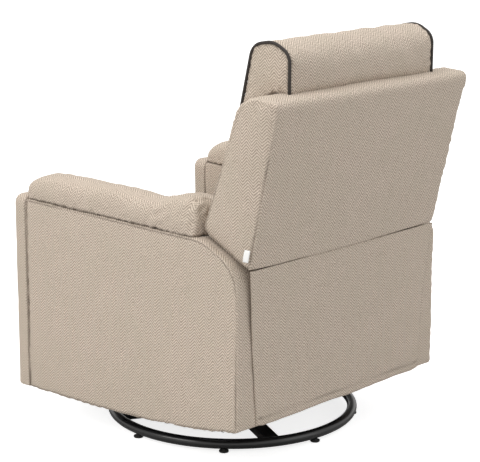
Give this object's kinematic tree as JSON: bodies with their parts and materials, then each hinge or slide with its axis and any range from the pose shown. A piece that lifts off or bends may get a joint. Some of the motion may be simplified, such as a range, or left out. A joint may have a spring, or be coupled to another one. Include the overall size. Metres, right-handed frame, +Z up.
{
  "type": "glider nursery chair",
  "caption": "Upholstered nursery recliner that swivels on a ring base, glides on hanging links, reclines, and has a fold-out footrest.",
  "frame": {"origin": "on the floor, under the middle of the chair's outline", "axes": "+Z up, +X towards the sitter's left, -Y towards the front"},
  "size_m": [0.7533, 0.8615, 1.0144],
  "materials": {
    "fabric": "matte",
    "piping": "matte",
    "black_steel": "satin",
    "zinc_steel": "satin",
    "rubber": "matte",
    "plywood": "matte",
    "black_plastic": "matte"
  },
  "bodies": {
    "base": {"base_ring": "black_steel", "base_cross": "black_steel", "foot_1": "rubber", "foot_2": "rubber", "foot_3": "rubber", "foot_4": "rubber", "foot_5": "rubber", "foot_6": "rubber", "foot_7": "rubber", "foot_8": "rubber", "lower_race": "zinc_steel", "swivel_bolt": "zinc_steel"},
    "swivel": {"ball_cage": "zinc_steel", "upper_race": "zinc_steel", "glider_center_plate": "black_steel", "glider_side_left": "black_steel", "glider_side_right": "black_steel"},
    "rear_links": {"rear_link_left": "black_steel", "rear_link_right": "black_steel"},
    "front_links": {"front_link_left": "black_steel", "front_link_right": "black_steel"},
    "chair": {"mechanism_plate_left": "black_steel", "mechanism_plate_right": "black_steel", "seat_rail_front": "plywood", "seat_rail_rear": "plywood", "seat_spring_1": "zinc_steel", "seat_spring_2": "zinc_steel", "seat_spring_3": "zinc_steel", "seat_cushion": "fabric", "arm_shell_left": "fabric", "arm_shell_right": "fabric", "arm_pad_left": "fabric", "arm_pad_right": "fabric", "arm_front_left": "fabric", "arm_front_right": "fabric", "rear_skirt": "fabric", "handle_bezel": "black_plastic", "release_cable": "black_plastic"},
    "handle": {"release_handle": "black_plastic"},
    "back": {"back_shell": "fabric", "back_stile_left": "black_steel", "back_stile_right": "black_steel", "back_rail_top": "plywood", "back_rail_bottom": "plywood", "back_cushion": "fabric", "headrest_pillow": "fabric", "headrest_piping_left": "piping", "headrest_piping_right": "piping"},
    "footrest_lower": {"footrest_bar_1_left": "black_steel", "footrest_bar_1_right": "black_steel", "footrest_torque_tube": "black_steel"},
    "footrest_roller": {"footrest_bar_2_left": "black_steel", "footrest_bar_2_right": "black_steel"},
    "footrest": {"footrest_bar_3_left": "black_steel", "footrest_bar_3_right": "black_steel", "footrest_board": "plywood", "footrest_cushion": "fabric"},
    "footrest_stay": {"footrest_bar_4_left": "black_steel", "footrest_bar_4_right": "black_steel"}
  },
  "joints": [
    {"name": "swivel_turn", "type": "hinge", "parent": "base", "child": "swivel", "pos_m": [0, -0.025, 0.04], "axis": [0, 0, 1], "continuous": true},
    {"name": "glide_swing", "type": "hinge", "parent": "swivel", "child": "rear_links", "pos_m": [0, 0.105, 0.31], "axis": [1, 0, 0], "range_deg": [-20, 20]},
    {"name": "glide_front", "type": "hinge", "parent": "swivel", "child": "front_links", "pos_m": [0, -0.155, 0.31], "axis": [1, 0, 0], "range_deg": [-20, 20]},
    {"name": "glide_level", "type": "hinge", "parent": "rear_links", "child": "chair", "pos_m": [0, 0.105, 0.17], "axis": [1, 0, 0], "range_deg": [-20, 20]},
    {"name": "back_recline", "type": "hinge", "parent": "chair", "child": "back", "pos_m": [0, 0.28831, 0.34531], "axis": [-1, 0, 0], "range_deg": [0, 35], "deforming": ["rear_skirt"]},
    {"name": "handle_pull", "type": "hinge", "parent": "chair", "child": "handle", "pos_m": [-0.3715, -0.2535, 0.42], "axis": [0, 0, 1], "range_deg": [0, 25], "stiffness_Nm_per_rad": 0.4},
    {"name": "footrest_swing", "type": "hinge", "parent": "chair", "child": "footrest_lower", "pos_m": [0, -0.32, 0.36], "axis": [-1, 0, 0], "range_deg": [0, 79]},
    {"name": "footrest_cross", "type": "hinge", "parent": "footrest_lower", "child": "footrest_roller", "pos_m": [0, -0.33133, 0.2305], "axis": [-1, 0, 0], "range_deg": [-158, 0]},
    {"name": "footrest_tilt", "type": "hinge", "parent": "footrest_roller", "child": "footrest", "pos_m": [0, -0.34266, 0.36], "axis": [-1, 0, 0], "range_deg": [0, 158]},
    {"name": "footrest_stay_turn", "type": "hinge", "parent": "footrest_lower", "child": "footrest_stay", "pos_m": [0, -0.34266, 0.10099], "axis": [-1, 0, 0], "range_deg": [-158, 0]}
  ],
  "couplings": [
    {"joint": "glide_front", "follows": "glide_swing", "ratio": 1},
    {"joint": "glide_level", "follows": "glide_swing", "ratio": -1},
    {"joint": "footrest_cross", "follows": "footrest_swing", "ratio": -2},
    {"joint": "footrest_tilt", "follows": "footrest_swing", "ratio": 2},
    {"joint": "footrest_stay_turn", "follows": "footrest_swing", "ratio": -2}
  ]
}
